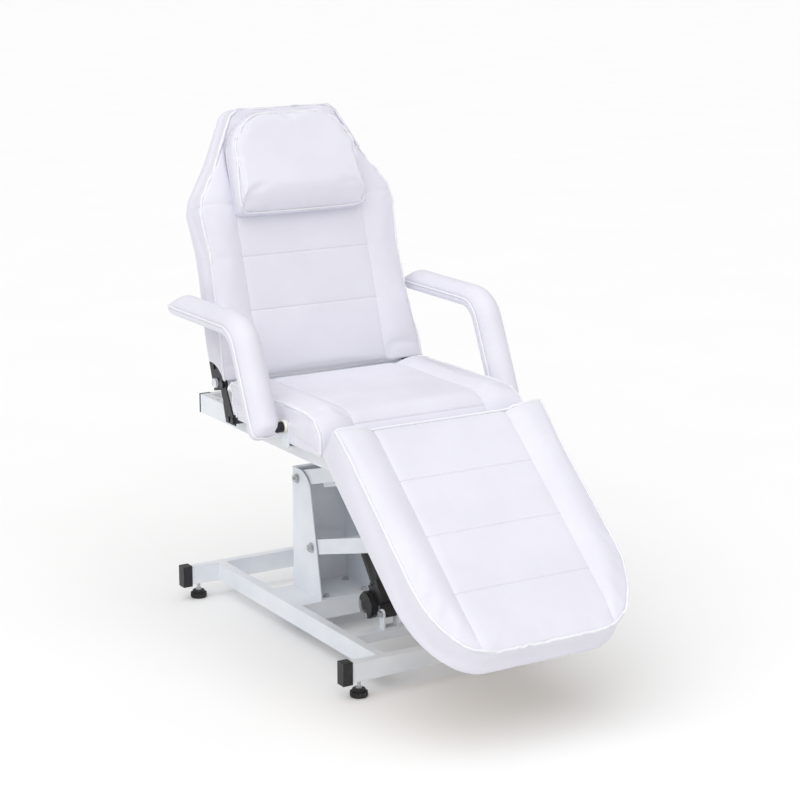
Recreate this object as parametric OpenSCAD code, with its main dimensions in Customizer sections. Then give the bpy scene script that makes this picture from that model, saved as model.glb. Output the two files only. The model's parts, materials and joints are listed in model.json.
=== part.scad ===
// Electric facial treatment bed: floor frame, pedestal, parallelogram lift with a linear actuator,
// seat frame, and hinged back, leg and arm sections with a loose head pillow.
// X runs across the bed, +Y to the head end and +Z up. The origin is on the floor, under the middle of the
// bed's whole length. The sizes below are measured from the middle of the floor frame.

/* [Base frame] */
// Distance between the outer faces of the black tube caps
base_w = 554; // [520:2:600]
// Distance between the centre lines of the two cross tubes
base_l = 888; // [860:2:940]
// Height of the tubes' underside above the floor
base_clear = 42; // [40:1:50]
// Width of the longitudinal tubes' outer faces
base_inner_w = 336; // [320:2:400]

/* [Pedestal and lift] */
// Outer width of the sheet metal pedestal
ped_w = 165; // [160:1:175]
// Height of the pedestal's top above the floor
ped_top = 427; // [422:1:440]
// Length of the lift arms between their pivots
arm_len = 360; // [340:2:370]
// Slope of the lift arms as modelled
arm_rise = 16; // [14:0.5:18]
// Depth of the lift arms' side bars
arm_bar = 40; // [34:1:42]

/* [Upholstery] */
// Width of the seat, back and leg cushions
cushion_w = 600; // [580:2:620]
// Distance of the long seams from the middle
seam_x = 189; // [170:1:210]
// Height of the seat's middle panel above the floor
seat_top = 695; // [690:1:705]
// Height of the side bolsters above the seat's middle panel
bolster = 18; // [8:1:22]
// Length of the back cushion
back_len = 715; // [680:5:740]
// Length of the leg cushion from its hinge end
leg_len = 653; // [620:1:680]
// Lean of the back from upright
back_lean = 18; // [16:0.5:20]
// Drop of the leg section below level
leg_drop = 40.8; // [36:0.2:44]

/* [Armrests] */
// Width of an armrest pad
arm_pad_w = 84; // [76:1:90]
// Height of an armrest's top above the floor
arm_top = 915; // [905:1:925]

/* [Hidden] */
$fn = 48;

// how far the floor frame's middle lies towards the head from the middle of the whole length
length_mid = 243;

// steel tube and sheet
tube_w = 25;
tube_h = 50;
wall = 2;
sheet = 3;
base_top = base_clear + tube_h;

// end caps around the cross tubes
cap_len = 27;
cap_wall = [3, 2.5, 4.5];
cap_fit = 0.1;

// levelling feet
foot_x = 225;
pad_r = 22.5;
pad_h = 20;
stud_r = 5;
stud_top = 78;
thread_fit = 0.05;

// floor beams between the longitudinals
beam_y = [-10, 155];
slim_y = [-291, -259];
slim_h = 25;

// pedestal outline in Y and Z
ped_rear = 148;
ped_cover = 111;
ped_lid = 131;
ped_front = -5;
ped_round = 61;
ped_tangent = 168.9;
ped_bolt_x = 58;
ped_bolts_y = [12, 112];

// lift pivots on the pedestal, and on the seat frame where the arms carry them
pivot_r = 6;
run_fit = 0.06;
low_a = [47, 226];
up_a = [124, 399];
arm_dir = [-cos(arm_rise), sin(arm_rise)];
low_b = low_a + arm_len * arm_dir;
up_b = up_a + arm_len * arm_dir;
arm_x = 76;
arm_t = 8;
bracket_x = 78;
bracket_t = 5;

// actuator between the slim beam and the upper arm
act_x = -36;
act_foot = [-275, 132];
act_along = 170;
act_below = 6;
act_head = up_a + act_along * arm_dir - act_below * [sin(arm_rise), cos(arm_rise)];
act_angle = atan2(act_head[1] - act_foot[1], act_head[0] - act_foot[0]);
act_len = norm(act_head - act_foot);
act_tube_r = 21;
act_tube_end = 190;
rod_r = 10;
rod_start = 114;
act_pin_r = 5;
act_window_r = 20;
drum_r = 36;
drum_x = [-75, 2];
drum_at = [-220, 142];

// seat frame rails
rail_x = 250;
rail_z = 554;
rail_y = [-385, 358];
rail_top = rail_z + tube_h;
mid_y = -195;

// seat cushion
seat_bottom = rail_top + 0.5;
board_t = 12;
skirt = 15;
half_w = cushion_w / 2;
seat_y = [-396, 98];
seat_undercut = 53;

// back section: local z runs up the cushion, local y into it from the middle panel's face
back_at = [113.6, 694];
back_t = 68;
back_bolster = 9;
back_pivot = [146, 676];
back_tube_y = back_t + tube_w / 2 + 0.2;
back_tube_z = 2;
back_pivot_l = [cos(back_lean) * (back_pivot[0] - back_at[0]) - sin(back_lean) * (back_pivot[1] - back_at[1]),
    sin(back_lean) * (back_pivot[0] - back_at[0]) + cos(back_lean) * (back_pivot[1] - back_at[1])];
// where the lowest tube of the back lies when the back is flat
back_tube_flat = back_pivot + [back_tube_z - back_pivot_l[1], back_pivot_l[0] - back_tube_y];
hinge_x = 278.5;
hinge_t = 4;
strap_x = 284;
hinge_gap = 0.5;

// pillow on the back cushion
pillow_w = 376;
pillow_z = [410, 690];

// leg section: local y runs down the cushion from the hinge end, local z out of its face
leg_at = [-454.6, 679.4];
leg_t = 85;
leg_end = 9;
leg_hinge_x = 207.5;
leg_pivot_l = [12, -92];
leg_pivot = leg_at + leg_pivot_l[0] * [-cos(leg_drop), -sin(leg_drop)]
          + leg_pivot_l[1] * [-sin(leg_drop), cos(leg_drop)];
leg_corner = [150, 220];

// armrests: an L-shaped strip bent about one centre, hung on a boss beside the seat
arm_in_x = 313;
arm_crown = 35;
arm_under = 22;
arm_bend_r = 78;
arm_bend = [-61, arm_top - arm_crown - arm_bend_r];
arm_turn = 65.2;
arm_rear_y = 255;
arm_foot_len = 220;
arm_pivot = [-226, 647];
core_w = 50;
core_t = 6;

// colours
white_paint = [0.90, 0.92, 0.94];
vinyl = [0.94, 0.94, 0.97];
black = [0.08, 0.08, 0.09];
zinc = [0.75, 0.76, 0.78];
gunmetal = [0.25, 0.25, 0.27];
birch = [0.80, 0.66, 0.46];
cream = [0.93, 0.90, 0.82];

// ---------- helpers ----------

// Rectangular tube from one corner, open along the axis numbered 0, 1 or 2
module tube(size, axis, t = wall) {
    difference() {
        cube(size);
        translate([for (i = [0:2]) i == axis ? -1 : t])
            cube([for (i = [0:2]) i == axis ? size[i] + 2 : size[i] - 2 * t]);
    }
}

// Extrudes a shape drawn in Y and Z from x0 to x1
module along_x(x0, x1) {
    translate([x0, 0, 0]) rotate([90, 0, 90]) linear_extrude(x1 - x0) children();
}

// Round bar along X at a place in Y and Z
module bar_x(x0, x1, at, r) {
    translate([x0, at[0], at[1]]) rotate([0, 90, 0]) cylinder(h = x1 - x0, r = r);
}

// Upright round bar
module post(at, z0, z1, r) {
    translate([at[0], at[1], z0]) cylinder(h = z1 - z0, r = r);
}

// Hexagon prism along X, across flats af
module hex_x(x0, x1, at, af) {
    translate([x0, at[0], at[1]]) rotate([0, 90, 0]) cylinder(h = x1 - x0, d = af / cos(30), $fn = 6);
}

// The same child on both sides of the bed
module both_sides() {
    children();
    mirror([1, 0, 0]) children();
}

// A child at each foot, from its signs in x and y
module at_foot(sx, sy) {
    translate([sx * foot_x, sy * base_l / 2, 0]) children();
}

// Points of an arc about c, from angle a0 to a1
function arc(c, r, a0, a1, n = 8) = [for (i = [0:n]) c + r * [cos(a0 + (a1 - a0) * i / n), sin(a0 + (a1 - a0) * i / n)]];

module in_back() {
    translate([0, back_at[0], back_at[1]]) rotate([-back_lean, 0, 0]) children();
}

module in_leg() {
    translate([0, leg_at[0], leg_at[1]]) rotate([leg_drop, 0, 0]) children();
}

// ---------- floor frame ----------

module base_frame() {
    bar_end = base_w / 2 - cap_wall[0] - cap_fit;
    inner = base_inner_w / 2 - tube_w;
    color(white_paint) difference() {
        union() {
            for (y = [-base_l / 2, base_l / 2])
                translate([-bar_end, y - tube_w / 2, base_clear]) tube([2 * bar_end, tube_w, tube_h], 0);
            for (x = [-base_inner_w / 2, inner])
                translate([x, -base_l / 2 + tube_w / 2, base_clear])
                    tube([tube_w, base_l - tube_w, tube_h], 1);
            translate([-inner, beam_y[0], base_clear]) tube([2 * inner, beam_y[1] - beam_y[0], tube_h], 0);
            translate([-inner, slim_y[0], base_top - slim_h])
                tube([2 * inner, slim_y[1] - slim_y[0], slim_h], 0);
        }
        for (sx = [-1, 1], sy = [-1, 1])
            at_foot(sx, sy) post([0, 0], base_clear - 1, base_clear + wall + 1, stud_r + 0.5);
        for (sx = [-1, 1], y = ped_bolts_y)
            post([sx * ped_bolt_x, y], base_top - wall - 1, base_top + 1, 4.1);
    }
}

module base_end_caps() {
    outer = [cap_len, tube_w + 2 * cap_wall[1], tube_h + 2 * cap_wall[2]];
    color(black) for (sx = [-1, 1], y = [-base_l / 2, base_l / 2])
        translate([sx * (base_w - cap_len) / 2, y, base_clear + tube_h / 2]) difference() {
            cube(outer, center = true);
            translate([-sx * cap_wall[0], 0, 0])
                cube([cap_len, tube_w + 2 * cap_fit, tube_h + 2 * cap_fit], center = true);
        }
}

module foot_nuts() {
    color(zinc) for (sx = [-1, 1], sy = [-1, 1]) at_foot(sx, sy) difference() {
        translate([0, 0, base_clear + wall]) cylinder(h = 8, d = 17 / cos(30), $fn = 6);
        post([0, 0], base_clear, base_clear + 12, stud_r + thread_fit);
    }
}

module foot_pad(sx, sy) {
    color(black) at_foot(sx, sy) difference() {
        union() {
            post([0, 0], 0, 3, pad_r - 1.5);
            post([0, 0], 3, 13, pad_r);
            post([0, 0], 13, pad_h, pad_r - 6);
        }
        for (a = [0:30:330]) rotate([0, 0, a]) post([pad_r + 1, 0], 2, 14, 2);
        post([0, 0], 8, pad_h + 1, stud_r);
    }
}

module foot_stud(sx, sy) {
    color(zinc) at_foot(sx, sy) {
        post([0, 0], 8, stud_top, stud_r);
        translate([0, 0, pad_h]) cylinder(h = 6, d = 15 / cos(30), $fn = 6);
    }
}

// ---------- pedestal ----------

// Side of the pedestal: upright at the back, a rounded shoulder and a slanted front
module pedestal_side() {
    polygon(concat([[ped_rear, base_top], [ped_rear, ped_top]],
        arc([ped_cover, ped_top - ped_round], ped_round, 90, ped_tangent, 10),
        [[ped_front, base_top]]));
}

module pedestal() {
    half = ped_w / 2;
    color(white_paint) difference() {
        union() {
            for (x = [-half, half - sheet]) along_x(x, x + sheet) pedestal_side();
            translate([-half, ped_rear - sheet, base_top]) cube([ped_w, sheet, ped_top - base_top]);
            translate([-half, ped_lid, ped_top - sheet]) cube([ped_w, ped_rear - ped_lid, sheet]);
            translate([-half, ped_front + 2, base_top]) cube([ped_w, ped_rear - ped_front - 2, sheet]);
        }
        for (p = [up_a, low_a]) bar_x(-half - 1, half + 1, p, pivot_r + 0.1);
        for (sx = [-1, 1], y = ped_bolts_y) post([sx * ped_bolt_x, y], base_top - 1, base_top + 5, 4.1);
    }
}

module pedestal_bolts() {
    color(zinc) for (sx = [-1, 1], y = ped_bolts_y) translate([sx * ped_bolt_x, y, 0]) {
        post([0, 0], base_top - 10, base_top + sheet, 4);
        post([0, 0], base_top + sheet, base_top + sheet + 1.6, 9);
        translate([0, 0, base_top + sheet + 1.6]) cylinder(h = 5.4, d = 13 / cos(30), $fn = 6);
    }
}

// Pivot bolt through two sheets whose outer faces are at x = -half and half
module pivot_bolt(at, half) {
    bar_x(-half - 2, half + 14, at, pivot_r);
    hex_x(-half - 10, -half - 2, at, 19);
    bar_x(-half - 13, -half - 10, at, 4);
}

module base_pivot_bolts() {
    color(zinc) for (p = [up_a, low_a]) pivot_bolt(p, ped_w / 2);
}

module base_pivot_washers() {
    color(zinc) for (p = [up_a, low_a], x = [-ped_w / 2 - 2, ped_w / 2]) difference() {
        bar_x(x, x + 2, p, 14);
        bar_x(x - 1, x + 3, p, pivot_r);
    }
}

module base_pivot_nuts() {
    color(zinc) for (p = [up_a, low_a]) difference() {
        hex_x(ped_w / 2 + 2, ped_w / 2 + 12, p, 19);
        bar_x(ped_w / 2, ped_w / 2 + 13, p, pivot_r);
    }
}

// ---------- lift ----------

// Flat side bars with rounded ends, and a cross tube with a bore at each pivot
module arm_ladder() {
    for (x = [-arm_x, arm_x - arm_t]) {
        for (y = [0, -arm_len]) bar_x(x, x + arm_t, [y, 0], arm_bar / 2);
        translate([x, -arm_len, -arm_bar / 2]) cube([arm_t, arm_len, arm_bar]);
    }
    for (y = [0, -arm_len]) bar_x(-arm_x, arm_x, [y, 0], 11);
}

module arm_bores() {
    for (y = [0, -arm_len]) bar_x(-arm_x - 1, arm_x + 1, [y, 0], pivot_r + run_fit);
}

module lower_arm() {
    color(white_paint) translate([0, low_a[0], low_a[1]]) rotate([-arm_rise, 0, 0]) difference() {
        arm_ladder();
        arm_bores();
    }
}

module upper_arm() {
    lug_half = 72;
    color(white_paint) translate([0, up_a[0], up_a[1]]) rotate([-arm_rise, 0, 0]) difference() {
        union() {
            arm_ladder();
            for (y = [-act_along - lug_half, -act_along + lug_half]) bar_x(-arm_x, arm_x, [y, -4], 9);
            for (x = [act_x - 22, act_x + 18])
                translate([x, -act_along - lug_half, -32]) cube([4, 2 * lug_half, 50]);
        }
        arm_bores();
        bar_x(act_x - 23, act_x + 23, [-act_along, -act_below], act_window_r);
    }
}

// ---------- actuator ----------

// Local frame at the foot pin, with y along the actuator
module in_actuator() {
    translate([act_x, act_foot[0], act_foot[1]]) rotate([act_angle, 0, 0]) children();
}

module actuator_bracket() {
    color(white_paint) difference() {
        union() {
            translate([act_x - 22, act_foot[0] - 14, base_top]) cube([44, 28, 4]);
            for (x = [act_x - 22, act_x + 18]) {
                translate([x, act_foot[0] - 12, base_top]) cube([4, 24, act_foot[1] - base_top]);
                bar_x(x, x + 4, act_foot, 12);
            }
        }
        bar_x(act_x - 23, act_x + 23, act_foot, act_pin_r + 0.1);
    }
}

module actuator_foot_pin() {
    color(zinc) {
        bar_x(act_x - 26, act_x + 26, act_foot, act_pin_r);
        hex_x(act_x - 30, act_x - 24, act_foot, 15);
    }
}

module actuator_housing() {
    color(black) difference() {
        union() {
            in_actuator() {
                bar_x(-16, 16, [0, 0], 12);
                translate([-16, 0, -12]) cube([32, 30, 24]);
                translate([-21, 24, -24]) cube([42, 62, 48]);
                translate([0, 80, 0]) rotate([-90, 0, 0]) cylinder(h = 8, r = act_tube_r + 3);
                translate([0, 80, 0]) rotate([-90, 0, 0]) cylinder(h = act_tube_end - 80, r = act_tube_r);
            }
        }
        in_actuator() {
            bar_x(-17, 17, [0, 0], act_pin_r + run_fit);
            translate([0, 60, 0]) rotate([-90, 0, 0]) cylinder(h = act_tube_end - 50, r = rod_r + 0.05);
        }
        bar_x(drum_x[0] - 1, drum_x[1], drum_at, drum_r + 0.1);
    }
}

module actuator_motor() {
    color(black) difference() {
        union() {
            bar_x(drum_x[0] + 6, drum_x[1], drum_at, drum_r);
            bar_x(drum_x[0], drum_x[0] + 6, drum_at, drum_r - 4);
        }
        for (x = [drum_x[0] + 18]) difference() {
            bar_x(x, x + 18, drum_at, drum_r + 1);
            bar_x(x, x + 18, drum_at, drum_r - 2);
        }
    }
}

module actuator_band() {
    color([0.6, 0.6, 0.63]) difference() {
        bar_x(drum_x[0] + 18, drum_x[0] + 36, drum_at, drum_r - 0.5);
        bar_x(drum_x[0] + 17, drum_x[0] + 37, drum_at, drum_r - 2);
    }
}

module actuator_rod() {
    color(zinc) difference() {
        in_actuator() {
            translate([0, rod_start, 0]) rotate([-90, 0, 0]) cylinder(h = act_len - rod_start, r = rod_r);
            bar_x(-12, 12, [act_len, 0], 14);
        }
        in_actuator() bar_x(-13, 13, [act_len, 0], act_pin_r);
    }
}

module actuator_head_pin() {
    color(zinc) bar_x(act_x - 24, act_x + 24, act_head, act_pin_r);
}

// ---------- seat frame ----------

module seat_frame() {
    span = rail_x - tube_w;
    color(white_paint) difference() {
        union() {
            for (x = [-rail_x, span]) translate([x, rail_y[0], rail_z])
                tube([tube_w, rail_y[1] - rail_y[0], tube_h], 1);
            for (y = [rail_y[0], mid_y, rail_y[1] - tube_w])
                translate([-span, y, rail_z]) tube([2 * span, tube_w, tube_h], 0);
            both_sides() for (x = [leg_hinge_x - 14.5, leg_hinge_x + 9.5]) {
                bar_x(x, x + 5, leg_pivot, 8);
                translate([x, leg_pivot[0], rail_top - 16]) cube([5, rail_y[0] - leg_pivot[0], 14]);
            }
        }
        both_sides() bar_x(leg_hinge_x - 16, leg_hinge_x + 16, leg_pivot, 5.05);
        both_sides() post([rail_x - tube_w / 2, 272], rail_top - wall - 1, rail_top + 1, 4);
    }
}

// Plates under the seat frame that carry the forward ends of the lift arms
module lift_brackets() {
    color(white_paint) both_sides() difference() {
        union() {
            along_x(bracket_x, bracket_x + bracket_t)
                polygon([[mid_y + tube_w, rail_z], [rail_y[0], rail_z], low_b - [24, 0], low_b + [24, 0]]);
            bar_x(bracket_x, bracket_x + bracket_t, low_b, 24);
        }
        for (p = [up_b, low_b]) bar_x(bracket_x - 1, bracket_x + bracket_t + 1, p, pivot_r + 0.1);
    }
}

module frame_pivot_bolts() {
    color(zinc) for (p = [up_b, low_b]) {
        pivot_bolt(p, bracket_x + bracket_t);
        difference() {
            hex_x(bracket_x + bracket_t, bracket_x + bracket_t + 10, p, 19);
            bar_x(bracket_x, bracket_x + bracket_t + 11, p, pivot_r - 0.5);
        }
    }
}

module rail_caps() {
    color(black) both_sides() translate([rail_x - tube_w, rail_y[1], rail_z]) {
        cube([tube_w, 2, tube_h]);
        translate([wall + 0.1, -12, wall + 0.1]) cube([tube_w - 2 * wall - 0.2, 12, tube_h - 2 * wall - 0.2]);
    }
}

module armrest_brackets() {
    plate = [arm_in_x - 11.5, arm_in_x - 7.5];
    color(white_paint) both_sides() difference() {
        union() {
            bar_x(plate[0], plate[1], arm_pivot, 18);
            translate([plate[0], arm_pivot[0] - 18, rail_top - 8]) cube([4, 36, arm_pivot[1] - rail_top + 8]);
            translate([rail_x, arm_pivot[0] - 18, rail_top - 8]) cube([plate[1] - rail_x, 36, 4]);
        }
        bar_x(plate[0] - 1, plate[1] + 1, arm_pivot, pivot_r + run_fit);
    }
}

// Lower leaf of the back hinge, down to the outside of the rail
module hinge_straps() {
    foot_at = [[76, 580], [128, 580]];
    color(gunmetal) both_sides() difference() {
        union() {
            bar_x(strap_x, strap_x + hinge_t, back_pivot, 17);
            along_x(strap_x, strap_x + hinge_t)
                polygon([back_pivot + [-17, 0], foot_at[0], foot_at[1], back_pivot + [8, -14]]);
        }
        bar_x(strap_x - 1, strap_x + hinge_t + 1, back_pivot, pivot_r + 0.1);
        bar_x(strap_x - 1, strap_x + hinge_t + 1, back_tube_flat, tube_w / 2 + 1);
        for (y = [90, 114]) bar_x(strap_x - 1, strap_x + hinge_t + 1, [y, rail_z + 36], 4.1);
    }
}

module hinge_spacers() {
    color(zinc) both_sides() for (y = [90, 114]) {
        bar_x(rail_x, strap_x, [y, rail_z + 36], 9);
        bar_x(strap_x, strap_x + hinge_t, [y, rail_z + 36], 4);
        bar_x(strap_x + hinge_t, strap_x + hinge_t + 3, [y, rail_z + 36], 7);
    }
}

module back_hinge_pins() {
    color(zinc) both_sides() {
        bar_x(hinge_x - 1.5, strap_x + hinge_t, back_pivot, pivot_r);
        bar_x(strap_x + hinge_t, strap_x + hinge_t + 4, back_pivot, 10);
    }
}

module leg_hinge_pins() {
    color(zinc) both_sides() {
        bar_x(leg_hinge_x - 17, leg_hinge_x + 16, leg_pivot, 5);
        bar_x(leg_hinge_x + 14.5, leg_hinge_x + 18, leg_pivot, 8);
    }
}

// ---------- seat ----------

// Side view of the seat at a given height, with an undercut back and a rounded front edge
module seat_profile(top) {
    front = seat_y[0];
    rear = seat_y[1];
    round_r = 34;
    polygon(concat([[rear - seat_undercut, seat_bottom], [rear, top - 8], [rear - 6, top]],
        arc([front + 10 + round_r, top - round_r], round_r, 90, 176, 6),
        [[front, 640], [front, seat_bottom]]));
}

module seat_board() {
    color(birch) translate([-half_w + skirt, rail_y[0], seat_bottom - 0.5])
        cube([cushion_w - 2 * skirt, seat_y[1] - seat_undercut - 8 - rail_y[0], board_t]);
}

module seat_cushion() {
    color(vinyl) difference() {
        union() {
            along_x(-half_w, -seam_x) seat_profile(seat_top + bolster);
            along_x(-seam_x, seam_x) seat_profile(seat_top);
            along_x(seam_x, half_w) seat_profile(seat_top + bolster);
        }
        translate([-half_w + skirt, rail_y[0], seat_bottom - 1])
            cube([cushion_w - 2 * skirt, seat_y[1] - seat_undercut - 8 - rail_y[0], board_t + 0.5]);
    }
}

module control_box() {
    color(black) difference() {
        translate([-70, -140, rail_z + 5]) cube([140, 160, tube_h - 5]);
        translate([-15, 14, rail_z + 14]) cube([30, 7, 22]);
    }
}

module power_inlet() {
    color(black) difference() {
        translate([-15, 14, rail_z + 14]) cube([30, 9, 22]);
        translate([-11, 17, rail_z + 18]) cube([22, 7, 14]);
    }
}

// ---------- back ----------

// Half outline of the back cushion from its lower corner up to the middle of its top
back_half = [[half_w, -5], [half_w, 110], [half_w - 12, 320], [half_w, 455], [half_w - 8, 490],
    [228, 570], [200, 622], [176, 668]];

function mirrored(half) = concat(half, [for (i = [len(half) - 1:-1:0]) [-half[i][0], half[i][1]]]);

module back_outline(grow = 0) {
    top_r = 46 + grow;
    polygon(mirrored(concat([for (p = back_half) p + [grow, p[1] < 0 ? -grow : 0]],
        arc([124, back_len - 46], top_r, 10, 90, 5))));
}

// Extrudes a shape drawn in X and local Z through the back, from depth y0 to y1
module through_back(y0, y1) {
    translate([0, y1, 0]) rotate([90, 0, 0]) linear_extrude(y1 - y0) children();
}

module back_board_shape() {
    polygon(mirrored([[half_w - 24, 14], [half_w - 24, 440], [214, 560], [160, 660], [110, back_len - 20]]));
}

module back_board() {
    color(birch) in_back() difference() {
        through_back(back_t - board_t, back_t) back_board_shape();
        both_sides() hinge_scoop();
    }
}

// Room for the hinge at a lower rear corner of the back
module hinge_scoop() {
    bar_x(hinge_x - 26, half_w + 1, [76, -22], 80);
}

module back_cushion() {
    color(vinyl) in_back() difference() {
        union() {
            through_back(0, back_t) back_outline();
            intersection() {
                through_back(-back_bolster, 1) back_outline();
                both_sides() translate([seam_x, -back_bolster - 1, -10])
                    cube([half_w, back_bolster + 3, back_len - 120]);
            }
        }
        through_back(back_t - board_t - 0.1, back_t + 1) back_board_shape();
        both_sides() hinge_scoop();
    }
}

module back_frame() {
    upright_x = hinge_x - tube_w;
    color(white_paint) in_back() {
        both_sides() translate([upright_x, back_t + 0.2, 8]) tube([tube_w, tube_w, 440], 2);
        for (z = [200, 440]) translate([-upright_x, back_t + 0.2, z]) tube([2 * upright_x, tube_w, tube_w], 0);
        difference() {
            bar_x(-half_w + 12, half_w - 12, [back_tube_y, back_tube_z], tube_w / 2);
            bar_x(-half_w, half_w, [back_tube_y, back_tube_z], tube_w / 2 - wall);
        }
    }
}

module back_tube_plugs() {
    color(cream) in_back() both_sides() {
        bar_x(half_w - 12, half_w - 10, [back_tube_y, back_tube_z], tube_w / 2);
        bar_x(half_w - 21, half_w - 12, [back_tube_y, back_tube_z], tube_w / 2 - wall - 0.1);
    }
}

// Upper leaf of the back hinge, bolted to the outside of an upright
module back_hinge_plates() {
    color(gunmetal) in_back() both_sides() difference() {
        union() {
            bar_x(hinge_x + 0.1, hinge_x + hinge_t + 0.1, back_pivot_l, 15);
            along_x(hinge_x + 0.1, hinge_x + hinge_t + 0.1)
                polygon([back_pivot_l + [-2, -15], [100, -16], [103, 66], [84, 78], back_pivot_l + [0, 15]]);
            for (z = [44, 60]) bar_x(hinge_x + hinge_t, hinge_x + hinge_t + 3, [back_tube_y, z], 6);
        }
        bar_x(hinge_x - 1, hinge_x + 8, back_pivot_l, pivot_r + run_fit);
        bar_x(hinge_x - 1, hinge_x + 8, [back_tube_y, back_tube_z], tube_w / 2 + 0.1);
    }
}

// Wedge-shaped head pillow, thick at its lower edge
module pillow() {
    corner = 120;
    half = pillow_w / 2;
    color(vinyl) in_back() intersection() {
        through_back(-100, 0) polygon(mirrored(concat([[half - 12, pillow_z[0]], [half, pillow_z[0] + 12]],
            arc([half - corner, pillow_z[1] - corner], corner, 0, 90, 8))));
        along_x(-half, half)
            polygon([[-2, 414], [-36, 410], [-66, 424], [-84, 452], [-84, 472], [-42, 690], [-2, 690]]);
    }
}

// ---------- leg section ----------

// Leg cushion in plan: square at the hinge end, elliptical corners at the foot
module leg_outline(inset = 0) {
    a = leg_corner[0];
    b = leg_corner[1];
    polygon(mirrored(concat([[half_w - inset, -leg_end - inset]],
        [for (t = [0:7.5:90]) [half_w - a + (a - inset) * cos(t), -(leg_len - b) - (b - inset) * sin(t)]])));
}

module leg_slab(z0, z1, inset = 0) {
    translate([0, 0, z0]) linear_extrude(z1 - z0) leg_outline(inset);
}

// Room in the hinge end for the hinge barrels
module leg_notches() {
    both_sides() translate([leg_hinge_x - 18, -32, -leg_t - 1]) cube([36, 30, 8]);
}

module leg_board() {
    color(birch) in_leg() difference() {
        leg_slab(-leg_t, -leg_t + board_t, skirt);
        leg_notches();
    }
}

module leg_cushion() {
    color(vinyl) in_leg() difference() {
        union() {
            leg_slab(-leg_t, 0);
            intersection() {
                leg_slab(-1, bolster);
                both_sides() translate([seam_x, -leg_len - 1, -2]) cube([half_w, leg_len, bolster + 3]);
            }
        }
        leg_slab(-leg_t - 1, -leg_t + board_t + 0.1, skirt);
        leg_notches();
    }
}

module leg_frame() {
    x0 = leg_hinge_x - tube_w / 2;
    z0 = -leg_t - tube_w - 0.1;
    color(white_paint) in_leg() difference() {
        union() {
            both_sides() {
                translate([x0, -560, z0]) tube([tube_w, 535, tube_w], 1);
                translate([leg_hinge_x - 9, -30, z0]) cube([18, 30 - leg_pivot_l[0], 22]);
                bar_x(leg_hinge_x - 9, leg_hinge_x + 9, [-leg_pivot_l[0], leg_pivot_l[1]], 8);
            }
            for (y = [-110, -545]) translate([-x0, y, z0]) tube([2 * x0, tube_w, tube_w], 0);
        }
        both_sides() bar_x(leg_hinge_x - 10, leg_hinge_x + 10, [-leg_pivot_l[0], leg_pivot_l[1]], 5 + run_fit);
    }
}

// ---------- armrests ----------

// One edge of the armrest's side view, at a distance outside the piping line
function arm_edge(off) = concat([[arm_rear_y, arm_bend[1] + arm_bend_r + off]],
    arc(arm_bend, arm_bend_r + off, 90, 90 + arm_turn, 10),
    [arm_bend + (arm_bend_r + off) * [cos(90 + arm_turn), sin(90 + arm_turn)]
        + arm_foot_len * [-cos(arm_turn), -sin(arm_turn)]]);

function reversed(list) = [for (i = [len(list) - 1:-1:0]) list[i]];

module arm_strip(outer, inner) {
    polygon(concat(arm_edge(outer), reversed(arm_edge(inner))));
}

core_x = arm_in_x + (arm_pad_w - core_w) / 2;

module armrest_pad() {
    color(vinyl) difference() {
        along_x(arm_in_x, arm_in_x + arm_pad_w) arm_strip(arm_crown, -arm_under);
        along_x(core_x, core_x + core_w) arm_strip(-arm_under + core_t, -arm_under - 1);
        bar_x(arm_in_x - 1, core_x + 20, arm_pivot, 14);
    }
}

module armrest_core() {
    color(gunmetal) {
        along_x(core_x, core_x + core_w) arm_strip(-arm_under + core_t - 0.1, -arm_under + 0.1);
        difference() {
            bar_x(arm_in_x, core_x + 19, arm_pivot, 13.5);
            bar_x(arm_in_x - 1, core_x + 12, arm_pivot, pivot_r);
        }
    }
}

module armrest_boss() {
    color(cream) difference() {
        bar_x(arm_in_x - 7, arm_in_x - 0.5, arm_pivot, 17);
        bar_x(arm_in_x - 8, arm_in_x + 1, arm_pivot, pivot_r);
    }
}

module armrest_bolt() {
    color(zinc) bar_x(arm_in_x - 12, core_x + 12, arm_pivot, pivot_r);
}

// ---------- fasteners under the boards ----------

module board_screws() {
    color(zinc) both_sides() for (y = [-330, -30])
        translate([rail_x - tube_w / 2, y, rail_z - 3]) cylinder(h = 3, r = 6);
}

// ---------- assembly ----------

// Moves a piece so that the middle of the bed's length lies over the origin
module placed() {
    translate([0, length_mid, 0]) children();
}

placed() base_frame();
placed() base_end_caps();
placed() foot_nuts();
placed() foot_pad(-1, -1);  // foot_pad_front_left
placed() foot_pad(1, -1);  // foot_pad_front_right
placed() foot_pad(-1, 1);  // foot_pad_rear_left
placed() foot_pad(1, 1);  // foot_pad_rear_right
placed() foot_stud(-1, -1);  // foot_stud_front_left
placed() foot_stud(1, -1);  // foot_stud_front_right
placed() foot_stud(-1, 1);  // foot_stud_rear_left
placed() foot_stud(1, 1);  // foot_stud_rear_right
placed() pedestal();
placed() pedestal_bolts();
placed() base_pivot_bolts();
placed() base_pivot_washers();
placed() base_pivot_nuts();
placed() actuator_bracket();
placed() actuator_foot_pin();
placed() upper_arm();
placed() lower_arm();
placed() actuator_housing();
placed() actuator_motor();
placed() actuator_band();
placed() actuator_rod();
placed() actuator_head_pin();
placed() seat_frame();
placed() lift_brackets();
placed() rail_caps();
placed() frame_pivot_bolts();
placed() armrest_brackets();
placed() hinge_straps();
placed() hinge_spacers();
placed() back_hinge_pins();
placed() leg_hinge_pins();
placed() seat_board();
placed() seat_cushion();
placed() control_box();
placed() power_inlet();
placed() back_board();
placed() back_cushion();
placed() back_frame();
placed() back_hinge_plates();
placed() back_tube_plugs();
placed() pillow();
placed() leg_board();
placed() leg_cushion();
placed() leg_frame();
placed() mirror([1, 0, 0]) armrest_pad();  // armrest_pad_left
placed() armrest_pad();  // armrest_pad_right
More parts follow.
